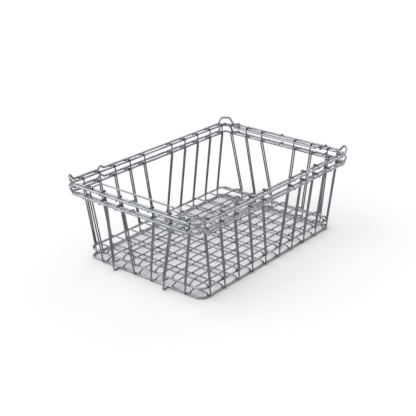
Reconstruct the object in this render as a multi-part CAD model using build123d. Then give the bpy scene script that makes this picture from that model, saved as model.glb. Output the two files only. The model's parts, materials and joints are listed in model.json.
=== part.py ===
"""Two nesting welded-wire containers, the upper one set down inside the lower.

Millimetres, +Z up. The origin is on the floor under the middle of the rim,
X runs along the long sides, and the front long side faces -Y.
"""
from build123d import *
import math
import os

# Overall layout, measured between wire centres
RIM_LENGTH = 594.5
RIM_WIDTH = 400.5
RIM_HEIGHT = 177.0
RIM_GAP = 13.4
INNER_DROP = 1.2
BASE_LEFT = 252.0
BASE_RIGHT = 259.5
BASE_WIDTH = 347.0
NEST_PITCH = 22.0

# Wire diameters
RIM_WIRE = 5.5
BASE_WIRE = 5.5
WALL_WIRE = 3.6
FLOOR_WIRE = 3.6
EYE_WIRE = 3.6
BAIL_WIRE = 3.8

# Bends
BASE_CORNER = 18.0
HUMP_HEIGHT = 14.5
HUMP_BEND = 5.0
HUMP_CROWN_BEND = 9.0
HUMP_TOP = 17.0
LONG_HUMP_FOOT = 27.0
SHORT_HUMP_FOOT = 29.0
INNER_CORNER = 6.0
FLARE = 3.5
FLARE_RUN = 7.0
FLARE_BEND = 4.0
LONG_FLARE_FOOT = 14.0
SHORT_FLARE_FOOT = 19.0
LOCATING_KINK_X = 182.0
LOCATING_KINK_HEIGHT = 8.0
LOCATING_KINK_HALF = 10.0
LEG_BEND = 3.5
LEG_INSET = 5.0
STUB_HEIGHT = 6.0
STUB_BEND = 8.0

# Floor grid
CROSS_COUNT = 10
CROSS_PITCH = 51.8
LONG_COUNT = 6
LONG_PITCH = 50.8
LONG_OFFSET = -11.4
FLOOR_RISE = 8.0
FLOOR_BEND = 6.0
FLOOR_END_SLOPE = 25.0

# Wall wires
LONG_WALL_OFFSET = 5.0
LONG_WALL_LEAN = 28.0
SMALL_LEAN = 14.0
LARGE_LEAN = 36.0
FAR_SMALL_LEAN = 10.0
FAR_LARGE_LEAN = 48.0
FOOT_TIP = 272.0
FOOT_BEND = 4.0
LEFT_FEET = (1, 4)
RIGHT_FEET = (0, 2, 5)

# Hooks over the rim and swing bails
EYE_PLACES = (130.0, -5.0, -150.0)
EYE_END_SLOPE = 15.0
EYE_BEND = 4.0
BAIL_PLACES = (122.0, -140.0)
BAIL_REACH = 26.5
BAIL_BEND = 7.0
BAIL_LOOP_TURN = 270.0

# Small spaces between pieces
WELD_GAP = 0.02
BEND_GAP = 0.4
SWING_GAP = 0.3
NESTED_WIRE_PITCH = 4.0

half_rim_x = RIM_LENGTH / 2
half_rim_y = RIM_WIDTH / 2
inner_x = half_rim_x - RIM_GAP
inner_y = half_rim_y - RIM_GAP
inner_z = RIM_HEIGHT - INNER_DROP
half_base_y = BASE_WIDTH / 2
base_z = BASE_WIRE / 2
wall_to_ring = (BASE_WIRE + WALL_WIRE) / 2 + WELD_GAP
wall_to_rim = (RIM_WIRE + WALL_WIRE) / 2 + WELD_GAP
wall_end_z = base_z
kink_z = RIM_HEIGHT - STUB_HEIGHT
wall_rise = kink_z - wall_end_z
wall_top_z = inner_z + wall_to_rim + WALL_WIRE / 2
top_drop = kink_z + NEST_PITCH - wall_top_z


def rod(path_points, bend, diameter):
    """A round wire along straight runs with equal bends between them."""
    if len(path_points) == 2:
        path = Line(*path_points)
    else:
        path = FilletPolyline(*path_points, radius=bend)
    section = Plane(origin=path @ 0, z_dir=path % 0) * Circle(diameter / 2)
    return sweep(section, path=path)


def closed_wire(half_points, bends, diameter):
    """A closed wire from one half and the same half turned by 180 degrees."""
    path = FilletPolyline(*half_points, radius=bends)
    section = Plane(origin=path @ 0, z_dir=path % 0) * Circle(diameter / 2)
    half = sweep(section, path=path)
    return half + Rot(0, 0, 180) * half


def base_ring():
    """The flat ring that the container stands on."""
    half_x = (BASE_LEFT + BASE_RIGHT) / 2
    points = [
        (half_x, 0, base_z),
        (half_x, half_base_y, base_z),
        (-half_x, half_base_y, base_z),
        (-half_x, 0, base_z),
    ]
    centre_x = (BASE_RIGHT - BASE_LEFT) / 2
    return Pos(centre_x, 0, 0) * closed_wire(points, BASE_CORNER, BASE_WIRE)


def inner_rim():
    """The inner rim wire, its four corners set outward under the raised ones."""
    x, y, z = inner_x, inner_y, inner_z
    wide_x, wide_y = x + FLARE, y + FLARE
    short_foot = y - SHORT_FLARE_FOOT
    long_foot = x - LONG_FLARE_FOOT
    points = [
        (x, 0, z),
        (x, short_foot, z),
        (wide_x, short_foot + FLARE_RUN, z),
        (wide_x, wide_y, z),
        (long_foot + FLARE_RUN, wide_y, z),
        (long_foot, y, z),
        (-long_foot, y, z),
        (-long_foot - FLARE_RUN, wide_y, z),
        (-wide_x, wide_y, z),
        (-wide_x, short_foot + FLARE_RUN, z),
        (-x, short_foot, z),
        (-x, 0, z),
    ]
    soft = FLARE_BEND
    bends = [soft, soft, INNER_CORNER, soft, soft] * 2
    return closed_wire(points, bends, RIM_WIRE)


def outer_rim():
    """The outer rim wire: raised, cut-off corners and a locating kink a side."""
    low = RIM_HEIGHT
    high = RIM_HEIGHT + HUMP_HEIGHT
    kink = RIM_HEIGHT + LOCATING_KINK_HEIGHT
    x, y = half_rim_x, half_rim_y
    kink_x = -LOCATING_KINK_X
    points = [
        (x, 0, low),
        (x, y - SHORT_HUMP_FOOT, low),
        (x, y - HUMP_TOP, high),
        (x - HUMP_TOP, y, high),
        (x - LONG_HUMP_FOOT, y, low),
        (kink_x + LOCATING_KINK_HALF, y, low),
        (kink_x, y, kink),
        (kink_x - LOCATING_KINK_HALF, y, low),
        (LONG_HUMP_FOOT - x, y, low),
        (HUMP_TOP - x, y, high),
        (-x, y - HUMP_TOP, high),
        (-x, y - SHORT_HUMP_FOOT, low),
        (-x, 0, low),
    ]
    soft = HUMP_BEND
    hump = [soft, HUMP_CROWN_BEND, HUMP_CROWN_BEND, soft]
    bends = hump + [soft, soft, soft] + hump
    return closed_wire(points, bends, RIM_WIRE)


def sloping_end(contact, rise, degrees):
    """A wire end sloping down onto another wire that lies across it.

    contact is the distance between the two wire centres, and rise is the
    height of the level part over the other wire. Returns how far the end
    passes the other wire, its height over it, and where the slope starts.
    """
    slope = math.radians(degrees)
    over = contact * math.sin(slope)
    foot = contact * math.cos(slope)
    run = (rise - foot) / math.tan(slope) - over
    return over, foot, run


def floor_wire(near, far, place, height, along_x):
    """A floor wire whose two ends slope down onto the base ring."""
    contact = (BASE_WIRE + FLOOR_WIRE) / 2 + WELD_GAP
    over, foot, run = sloping_end(contact, height - base_z, FLOOR_END_SLOPE)
    foot += base_z
    profile = [
        (near - over, foot),
        (near + run, height),
        (far - run, height),
        (far + over, foot),
    ]
    if along_x:
        points = [(way, place, z) for way, z in profile]
    else:
        points = [(place, way, z) for way, z in profile]
    return rod(points, FLOOR_BEND, FLOOR_WIRE)


def centred(count, pitch):
    """Evenly spaced places about zero, from the highest to the lowest."""
    return [((count - 1) / 2 - index) * pitch for index in range(count)]


def wall_wire(side, low, high, base, rim, has_foot):
    """One wall wire, given as distances along the wall and out from it.

    side turns (along, out, z) into a point of the container. The wire stands
    against the base ring or ends in a foot, leans along the wall, then stands
    upright, crosses over the inner rim wire and ends under the outer one.
    """
    over = inner_z + wall_to_rim
    under = RIM_HEIGHT - wall_to_rim
    upright = rim - wall_to_rim - BEND_GAP
    outer = rim + RIM_GAP
    top = [
        side(high, upright, kink_z),
        side(high, upright, over),
        side(high, rim + LEG_INSET, over),
        side(high, outer - LEG_INSET, under),
        side(high, outer, under),
    ]
    bends = [STUB_BEND] + [LEG_BEND] * 3
    if has_foot:
        touch = base + BASE_WIRE / 2 + WELD_GAP
        z = WALL_WIRE / 2
        start = [side(low, touch, z), side(low, FOOT_TIP, z)]
        bends = [FOOT_BEND] + bends
    else:
        start = [side(low, base + wall_to_ring, wall_end_z)]
    return rod(start + top, bends, WALL_WIRE)


def step_aside(lean, drop):
    """How far a nested wall wire stands beside the one below it."""
    return max(0.0, NESTED_WIRE_PITCH - drop * abs(lean) / wall_rise)


def wall(side, places, leans, base, rim, feet, nested):
    """The wires of one wall, as (plain wires, wires with feet)."""
    plain, footed = [], []
    for index, (place, lean) in enumerate(zip(places, leans)):
        toward_middle = -math.copysign(1.0, lean) if nested else 0.0
        low = place + toward_middle * step_aside(lean, NEST_PITCH)
        top_shift = step_aside(lean, top_drop)
        high = place + lean + toward_middle * top_shift
        has_foot = index in feet
        wire = wall_wire(side, low, high, base, rim, has_foot)
        (footed if has_foot else plain).append(wire)
    return plain, footed


def split_leans(places, plus, minus):
    """Wires on the plus side lean one way and the others the other way."""
    return [plus if place > 0 else -minus for place in places]


def rim_eye(x_sign, place):
    """A short hook lying on the outer rim wire and down onto the inner one."""
    contact = (RIM_WIRE + EYE_WIRE) / 2 + WELD_GAP
    top = RIM_HEIGHT + contact
    over, foot, run = sloping_end(contact, top - inner_z, EYE_END_SLOPE)
    points = [
        (x_sign * half_rim_x, place, top),
        (x_sign * (inner_x + run), place, top),
        (x_sign * (inner_x - over), place, inner_z + foot),
    ]
    return rod(points, EYE_BEND, EYE_WIRE)


def bail(x_sign):
    """A swing bail: a straight bar, two arms and a loop on each arm."""
    loop = (RIM_WIRE + BAIL_WIRE) / 2 + SWING_GAP
    hinge_x = x_sign * inner_x
    bar_x = x_sign * (inner_x - BAIL_REACH)
    z = inner_z + loop
    ends = [-x_sign * place for place in BAIL_PLACES]
    points = [
        (hinge_x, ends[0], z),
        (bar_x, ends[0], z),
        (bar_x, ends[1], z),
        (hinge_x, ends[1], z),
    ]
    body = rod(points, BAIL_BEND, BAIL_WIRE)
    for place in ends:
        plane = Plane(
            origin=(hinge_x, place, inner_z),
            x_dir=(0, 0, 1),
            z_dir=(0, x_sign, 0),
        )
        turn = plane * CenterArc((0, 0), loop, 0, BAIL_LOOP_TURN)
        section = Plane(origin=turn @ 0, z_dir=turn % 0) * Circle(BAIL_WIRE / 2)
        body += sweep(section, path=turn)
    return body


def container(nested):
    """The nodes of one container standing on the floor."""
    cross_z = base_z + FLOOR_RISE
    long_z = cross_z + FLOOR_WIRE + WELD_GAP
    cross_places = centred(CROSS_COUNT, CROSS_PITCH)
    short_places = centred(LONG_COUNT, LONG_PITCH)
    long_places = [place + LONG_OFFSET for place in short_places]
    side_places = [place + LONG_WALL_OFFSET for place in cross_places]
    long_leans = split_leans(side_places, LONG_WALL_LEAN, LONG_WALL_LEAN)
    side_wall = (half_base_y, inner_y)
    left_wall = (BASE_LEFT, inner_x)
    right_wall = (BASE_RIGHT, inner_x)

    front, _ = wall(
        lambda a, o, z: (a, -o, z), side_places, long_leans, *side_wall, (), nested
    )
    back, _ = wall(
        lambda a, o, z: (a, o, z), side_places, long_leans, *side_wall, (), nested
    )
    left, left_feet = wall(
        lambda a, o, z: (-o, a, z),
        short_places,
        split_leans(short_places, SMALL_LEAN, LARGE_LEAN),
        *left_wall,
        LEFT_FEET,
        nested,
    )
    right, right_feet = wall(
        lambda a, o, z: (o, a, z),
        long_places,
        split_leans(long_places, FAR_LARGE_LEAN, FAR_SMALL_LEAN),
        *right_wall,
        RIGHT_FEET,
        nested,
    )
    cross_ends = (-half_base_y, half_base_y)
    long_ends = (-BASE_LEFT, BASE_RIGHT)
    cross = [floor_wire(*cross_ends, x, cross_z, False) for x in cross_places]
    along = [floor_wire(*long_ends, y, long_z, True) for y in long_places]
    return {
        "rim_outer_wire": [outer_rim()],
        "rim_inner_wire": [inner_rim()],
        "base_ring": [base_ring()],
        "floor_cross_wires": cross,
        "floor_long_wires": along,
        "front_wall_wires": front,
        "back_wall_wires": back,
        "left_wall_wires": left,
        "left_foot_wires": left_feet,
        "right_wall_wires": right,
        "right_foot_wires": right_feet,
        "left_rim_eyes": [rim_eye(-1, place) for place in EYE_PLACES],
        "right_rim_eyes": [rim_eye(1, -place) for place in EYE_PLACES],
    }


def write_node(name, pieces, lift):
    """Write one node, its solids raised into place."""
    solids = []
    for piece in pieces:
        solids += (Pos(0, 0, lift) * piece).solids()
    shape = solids[0] if len(solids) == 1 else Compound(children=solids)
    export_step(shape, f"parts/{name}.step")


os.makedirs("parts", exist_ok=True)
for prefix, lift, nested in (("lower", 0.0, False), ("upper", NEST_PITCH, True)):
    for name, pieces in container(nested).items():
        write_node(f"{prefix}_{name}", pieces, lift)
write_node("left_bail", [bail(-1)], NEST_PITCH)
write_node("right_bail", [bail(1)], NEST_PITCH)
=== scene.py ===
import json
import math

import bmesh
import bpy
import numpy as np
from mathutils import Matrix, Vector, noise


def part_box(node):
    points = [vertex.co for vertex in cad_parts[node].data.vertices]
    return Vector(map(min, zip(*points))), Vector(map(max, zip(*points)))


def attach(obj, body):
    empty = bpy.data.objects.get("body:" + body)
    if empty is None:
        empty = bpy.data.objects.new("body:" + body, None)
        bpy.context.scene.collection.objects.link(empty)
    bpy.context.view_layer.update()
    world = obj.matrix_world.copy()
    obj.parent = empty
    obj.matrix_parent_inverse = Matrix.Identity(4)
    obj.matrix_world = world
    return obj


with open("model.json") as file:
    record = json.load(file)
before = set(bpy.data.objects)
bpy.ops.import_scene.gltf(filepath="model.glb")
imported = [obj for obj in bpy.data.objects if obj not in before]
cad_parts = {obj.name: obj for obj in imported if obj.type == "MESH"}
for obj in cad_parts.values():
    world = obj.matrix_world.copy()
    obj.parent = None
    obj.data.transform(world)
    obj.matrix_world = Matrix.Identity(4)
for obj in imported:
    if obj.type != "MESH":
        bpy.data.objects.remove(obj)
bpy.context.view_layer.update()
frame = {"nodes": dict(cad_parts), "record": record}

MM = 0.001
NODES = frame["nodes"]
CONTAINERS = ("lower", "upper")
UP = (0.0, 0.0, 1.0)

# Each wall of a container: the axis that points out of it, and which way.
SIDES = {"front": (1, -1), "back": (1, 1), "left": (0, -1), "right": (0, 1)}

# The two rim wires: their radius, and how far the inner one stands in and down.
RIM_RADIUS = 2.75 * MM
RIM_GAP = 13.4 * MM
INNER_DROP = 1.2 * MM

# A wall wire's foot, beside the base ring, and its bent top, over the inner rim wire.
FOOT_MARGIN = 1 * MM
TOP_START = 3 * MM
TOP_END = 20 * MM

# Weld beads: reach and rise in millimetres.
GRID_BEAD = (2.3, 0.9)
FOOT_BEAD = (2.5, 0.8)
WALL_BASE_BEAD = (2.2, 0.8)
WALL_OUTER_RIM_BEAD = (1.9, 0.7)
WALL_INNER_RIM_BEAD = (1.9, 0.6)
HOOK_OUTER_BEAD = (1.9, 0.7)
HOOK_INNER_BEAD = (1.9, 0.6)
BUTT_RISE = 1.1
BUTT_SWELL = 0.3
FOOT_BEAD_LIFT = 0.1 * MM
OUTER_RIM_BEAD_INSET = 0.6 * MM

# Where along the front the ring and the rim wires are butt welded.
RING_BUTT_X = -0.012
RIM_BUTT_X = 0.008


# ---------------------------------------------------------------- reading the frame


def wires(node):
    """The separate wires of a CAD node, each as an array of its own points.

    Vertices within a micron are one: the node's mesh is split along its edges.
    """
    mesh = NODES[node].data
    flat = np.empty(len(mesh.vertices) * 3, dtype=np.float32)
    mesh.vertices.foreach_get("co", flat)
    points = flat.reshape(-1, 3).astype(float)
    micron = np.round((points - points.min(axis=0)) * 1e6).astype(np.int64)
    key = (micron[:, 0] << 42) + (micron[:, 1] << 21) + micron[:, 2]
    _, same = np.unique(key, return_inverse=True)
    pairs = np.empty(len(mesh.edges) * 2, dtype=np.int32)
    mesh.edges.foreach_get("vertices", pairs)
    ends = same[pairs.reshape(-1, 2)]
    label = np.arange(same.max() + 1)
    while True:
        lowest = label.copy()
        pair = np.minimum(label[ends[:, 0]], label[ends[:, 1]])
        np.minimum.at(lowest, ends[:, 0], pair)
        np.minimum.at(lowest, ends[:, 1], pair)
        lowest = lowest[lowest]
        if (lowest == label).all():
            break
        label = lowest
    return [points[label[same] == k] for k in np.unique(label)]


def middle(points):
    return (points.min(axis=0) + points.max(axis=0)) / 2


def band(points, low, high):
    """The middle of the part of a wire that lies between two heights."""
    return middle(points[(points[:, 2] >= low) & (points[:, 2] <= high)])


# ---------------------------------------------------------------- materials


CLOUD_SCALE = 38.0
SPOT_SCALE = 420.0
GRAIN_SCALE = 2600.0
GRAIN_DEPTH = 0.06 * MM
SPOT_DULLING = 0.14


def wire_metal(name, pale, dark, roughness, grain):
    """Bright plated wire: cloudy plating, fine surface grain and small dull spots."""
    material = bpy.data.materials.new(name)
    material.use_nodes = True
    tree = material.node_tree
    shader = tree.nodes["Principled BSDF"]
    shader.inputs["Metallic"].default_value = 1.0
    place = tree.nodes.new("ShaderNodeTexCoord")

    def clouds(scale, detail):
        node = tree.nodes.new("ShaderNodeTexNoise")
        node.inputs["Scale"].default_value = scale
        node.inputs["Detail"].default_value = detail
        tree.links.new(place.outputs["Object"], node.inputs["Vector"])
        return node.outputs["Fac"]

    def spread(value, low, high, start=0.3, end=0.7):
        node = tree.nodes.new("ShaderNodeMapRange")
        node.inputs["From Min"].default_value = start
        node.inputs["From Max"].default_value = end
        node.inputs["To Min"].default_value = low
        node.inputs["To Max"].default_value = high
        tree.links.new(value, node.inputs["Value"])
        return node.outputs["Result"]

    cloud = clouds(CLOUD_SCALE, 3.0)
    colour = tree.nodes.new("ShaderNodeMix")
    colour.data_type = "RGBA"
    colour.inputs["A"].default_value = (*dark, 1.0)
    colour.inputs["B"].default_value = (*pale, 1.0)
    tree.links.new(spread(cloud, 0.0, 1.0), colour.inputs["Factor"])
    tree.links.new(colour.outputs["Result"], shader.inputs["Base Color"])
    spots = clouds(SPOT_SCALE, 2.0)
    dull = spread(spots, roughness, roughness + SPOT_DULLING, 0.45, 0.75)
    tree.links.new(dull, shader.inputs["Roughness"])
    bump = tree.nodes.new("ShaderNodeBump")
    bump.inputs["Strength"].default_value = grain
    bump.inputs["Distance"].default_value = GRAIN_DEPTH
    tree.links.new(clouds(GRAIN_SCALE, 4.0), bump.inputs["Height"])
    tree.links.new(bump.outputs["Normal"], shader.inputs["Normal"])
    return material


# The rim wire is the same plated steel as the wall wires. Its paler base colour is
# painted light: a painted highlight for top-lit horizontal wire.
RIM = wire_metal("rim_wire", (0.44, 0.453, 0.482), (0.25, 0.26, 0.285), 0.13, 0.25)
# The wall wires' darker base colour is painted shade: steep wire is made darker as if it
# faced the dim horizon, though it is the rim's own plated steel.
WALL = wire_metal("wall_wire", (0.225, 0.232, 0.255), (0.155, 0.16, 0.177), 0.34, 0.25)
GRID = wire_metal("grid_wire", (0.33, 0.343, 0.375), (0.19, 0.2, 0.225), 0.15, 0.25)
BAIL = wire_metal("bail_wire", (0.36, 0.373, 0.4), (0.25, 0.26, 0.285), 0.15, 0.2)
WELD = wire_metal("weld", (0.27, 0.275, 0.295), (0.15, 0.155, 0.165), 0.35, 0.7)
SLOT_METAL = {"rim_wire": RIM, "wall_wire": WALL, "grid_wire": GRID, "bail_wire": BAIL}
SLOT_OF = {
    part["node"]: part["material_slot"] for part in frame["record"]["subparts"]
}
for name, node in NODES.items():
    node.data.materials.clear()
    node.data.materials.append(SLOT_METAL[SLOT_OF[name]])


# ---------------------------------------------------------------- welds


BEAD_UNEVENNESS = 0.12
BEAD_LUMPS = 1.7
SEED_STEP = 0.37


def bead(mesh, place, normal, reach, rise, seed):
    """One weld bead: a flattened, slightly uneven lump lying across normal."""
    turn = Vector((0, 0, 1)).rotation_difference(Vector(normal)).to_matrix().to_4x4()
    made = bmesh.ops.create_uvsphere(mesh, u_segments=18, v_segments=10, radius=1.0)
    for vertex in made["verts"]:
        way = vertex.co.normalized()
        offset = Vector((seed, 3.1 * seed, 0))
        uneven = 1 + BEAD_UNEVENNESS * noise.noise(way * BEAD_LUMPS + offset)
        vertex.co = Vector((way.x * reach, way.y * reach, way.z * rise)) * uneven
    move = Matrix.Translation(Vector(place)) @ turn
    bmesh.ops.transform(mesh, matrix=move, verts=made["verts"])


def weld_piece(name, body, beads):
    """All weld beads of one kind on one container, as one piece."""
    mesh = bmesh.new()
    for index, (place, normal, reach, rise) in enumerate(beads):
        bead(mesh, place, normal, reach * MM, rise * MM, SEED_STEP * index)
    data = bpy.data.meshes.new(name)
    mesh.to_mesh(data)
    mesh.free()
    data.shade_smooth()
    data.materials.append(WELD)
    piece = bpy.data.objects.new(name, data)
    bpy.context.scene.collection.objects.link(piece)
    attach(piece, body)


def grid_welds(cross, along):
    """One bead at each crossing of the floor grid."""
    beads = []
    for wire_x in cross:
        for wire_y in along:
            place = (middle(wire_x)[0], middle(wire_y)[1], wire_x[:, 2].max())
            beads.append((place, UP, *GRID_BEAD))
    return beads


def foot_welds(cross, along, ring_low, ring_high):
    """One bead under each end of a floor wire, on top of the base ring."""
    half = (ring_high[2] - ring_low[2]) / 2
    z = ring_high[2] + FOOT_BEAD_LIFT
    beads = []
    for wire in cross:
        for y in (ring_low[1] + half, ring_high[1] - half):
            beads.append(((middle(wire)[0], y, z), UP, *FOOT_BEAD))
    for wire in along:
        for x in (ring_low[0] + half, ring_high[0] - half):
            beads.append(((x, middle(wire)[1], z), UP, *FOOT_BEAD))
    return beads


def wall_welds(container, ring_low, ring_high):
    """Beads where the wall wires meet the base ring and both rim wires."""
    inner_low, inner_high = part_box(f"{container}_rim_inner_wire")
    outer_low, outer_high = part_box(f"{container}_rim_outer_wire")
    rim_radius = (inner_high[2] - inner_low[2]) / 2
    inner_mid = (inner_high[2] + inner_low[2]) / 2
    ring_mid = (ring_high[2] + ring_low[2]) / 2
    base, rim = [], []
    for side, (out_axis, sign) in SIDES.items():
        normal = [0.0, 0.0, 0.0]
        normal[out_axis] = float(sign)
        ring_edge = ring_high[out_axis] if sign > 0 else ring_low[out_axis]
        outer_edge = outer_high[out_axis] if sign > 0 else outer_low[out_axis]
        outer_mid = outer_edge - sign * rim_radius
        names = [f"{container}_{side}_wall_wires", f"{container}_{side}_foot_wires"]
        for wire in [w for name in names if name in NODES for w in wires(name)]:
            low = band(wire, ring_low[2] - FOOT_MARGIN, ring_mid + FOOT_MARGIN)
            place = [low[0], low[1], ring_mid]
            place[out_axis] = ring_edge
            base.append((place, normal, *WALL_BASE_BEAD))
            top = band(wire, inner_mid + TOP_START, inner_mid + TOP_END)
            over = [top[0], top[1], inner_high[2]]
            over[out_axis] = outer_mid - sign * RIM_GAP
            rim.append((over, UP, *WALL_INNER_RIM_BEAD))
            under = [top[0], top[1], outer_low[2]]
            under[out_axis] = outer_mid - sign * OUTER_RIM_BEAD_INSET
            rim.append((under, UP, *WALL_OUTER_RIM_BEAD))
    return base, rim


def hook_welds(container):
    """Two beads under each rim hook, on top of the outer and inner rim wires."""
    outer_low, outer_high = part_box(f"{container}_rim_outer_wire")
    beads = []
    for side, edge in (("left", outer_low[0]), ("right", outer_high[0])):
        for wire in wires(f"{container}_{side}_rim_eyes"):
            inward = math.copysign(RIM_RADIUS, -edge)
            y = middle(wire)[1]
            z = outer_low[2] + 2 * RIM_RADIUS
            beads.append(((edge + inward, y, z), UP, *HOOK_OUTER_BEAD))
            inner_x = edge + inward + math.copysign(RIM_GAP, inward)
            beads.append(((inner_x, y, z - INNER_DROP), UP, *HOOK_INNER_BEAD))
    return beads


def butt_welds(container):
    """The thickened butt joints that close the ring and the two rim wires."""
    ring_low, ring_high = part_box(f"{container}_base_ring")
    outer_low, outer_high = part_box(f"{container}_rim_outer_wire")
    ring_z = ring_low[2] + RIM_RADIUS
    outer_z = outer_low[2] + RIM_RADIUS
    outer_y = outer_low[1] + RIM_RADIUS
    swell = RIM_RADIUS / MM + BUTT_SWELL
    places = [
        (RING_BUTT_X, ring_low[1] + RIM_RADIUS, ring_z + BUTT_SWELL * MM),
        (RIM_BUTT_X, outer_y + BUTT_SWELL * MM, outer_z),
        (RIM_BUTT_X, outer_y + RIM_GAP, outer_z - INNER_DROP),
    ]
    return [(place, (1, 0, 0), swell, BUTT_RISE) for place in places]


def welds(container):
    """The welds of one container, each where two of its wires meet."""
    body = f"{container}_container"
    cross = wires(f"{container}_floor_cross_wires")
    along = wires(f"{container}_floor_long_wires")
    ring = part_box(f"{container}_base_ring")
    base, rim = wall_welds(container, *ring)
    weld_piece(f"{container}_grid_welds", body, grid_welds(cross, along))
    weld_piece(f"{container}_foot_welds", body, foot_welds(cross, along, *ring))
    weld_piece(f"{container}_wall_welds", body, base)
    weld_piece(f"{container}_rim_welds", body, rim)
    weld_piece(f"{container}_hook_welds", body, hook_welds(container))
    weld_piece(f"{container}_butt_welds", body, butt_welds(container))


for container in CONTAINERS:
    welds(container)


# ---------------------------------------------------------------- camera, light and floor

scene = bpy.context.scene
scene.view_settings.view_transform = "Standard"

CAMERA_AT = Vector((-1.6473, -1.3269, 0.9879))
AZIMUTH = math.radians(-50.741)
ELEVATION = math.radians(22.980)
ROLL = math.radians(0.063)

lens = bpy.data.cameras.new("camera")
lens.sensor_width = 36.0
lens.lens = 81.14
lens.shift_x = 0.00236
lens.shift_y = -0.0001
camera = bpy.data.objects.new("camera", lens)
scene.collection.objects.link(camera)
forward = Vector(
    (
        -math.sin(AZIMUTH) * math.cos(ELEVATION),
        math.cos(AZIMUTH) * math.cos(ELEVATION),
        -math.sin(ELEVATION),
    )
)
facing = forward.to_track_quat("-Z", "Y").to_matrix().to_4x4()
camera.matrix_world = (
    Matrix.Translation(CAMERA_AT) @ facing @ Matrix.Rotation(ROLL, 4, "Z")
)
scene.camera = camera

# The floor reaches this far each way, past any horizon.
REACH = 60.0
floor_mesh = bpy.data.meshes.new("floor")
floor_mesh.from_pydata(
    [(-REACH, -REACH, 0), (REACH, -REACH, 0), (REACH, REACH, 0), (-REACH, REACH, 0)],
    [],
    [(0, 1, 2, 3)],
)
floor = bpy.data.objects.new("floor", floor_mesh)
scene.collection.objects.link(floor)
paper = bpy.data.materials.new("paper")
paper.use_nodes = True
paper_shader = paper.node_tree.nodes["Principled BSDF"]
paper_shader.inputs["Base Color"].default_value = (0.86, 0.86, 0.86, 1.0)
paper_shader.inputs["Roughness"].default_value = 0.9
paper_shader.inputs["Specular IOR Level"].default_value = 0.0
floor_mesh.materials.append(paper)

# A pale studio: the world grows brighter from the horizon to straight overhead.
world = bpy.data.worlds.new("studio")
scene.world = world
world.use_nodes = True
studio = world.node_tree
sky = studio.nodes["Background"]
sky.inputs["Color"].default_value = (1.0, 1.0, 1.0, 1.0)
direction = studio.nodes.new("ShaderNodeTexCoord")
split = studio.nodes.new("ShaderNodeSeparateXYZ")
brightness = studio.nodes.new("ShaderNodeMapRange")
brightness.inputs["To Min"].default_value = 0.42
brightness.inputs["To Max"].default_value = 0.8
studio.links.new(direction.outputs["Generated"], split.inputs["Vector"])
studio.links.new(split.outputs["Z"], brightness.inputs["Value"])
studio.links.new(brightness.outputs["Result"], sky.inputs["Strength"])


def sun(name, azimuth, height, strength, spread):
    """A soft distant lamp, turned by azimuth and standing height degrees up."""
    light = bpy.data.lights.new(name, "SUN")
    light.energy = strength
    light.angle = math.radians(spread)
    lamp = bpy.data.objects.new(name, light)
    lamp.rotation_euler = (math.radians(90 - height), 0, math.radians(azimuth))
    scene.collection.objects.link(lamp)


sun("key", -140, 52, 1.6, 60)
sun("fill", 100, 42, 0.55, 45)
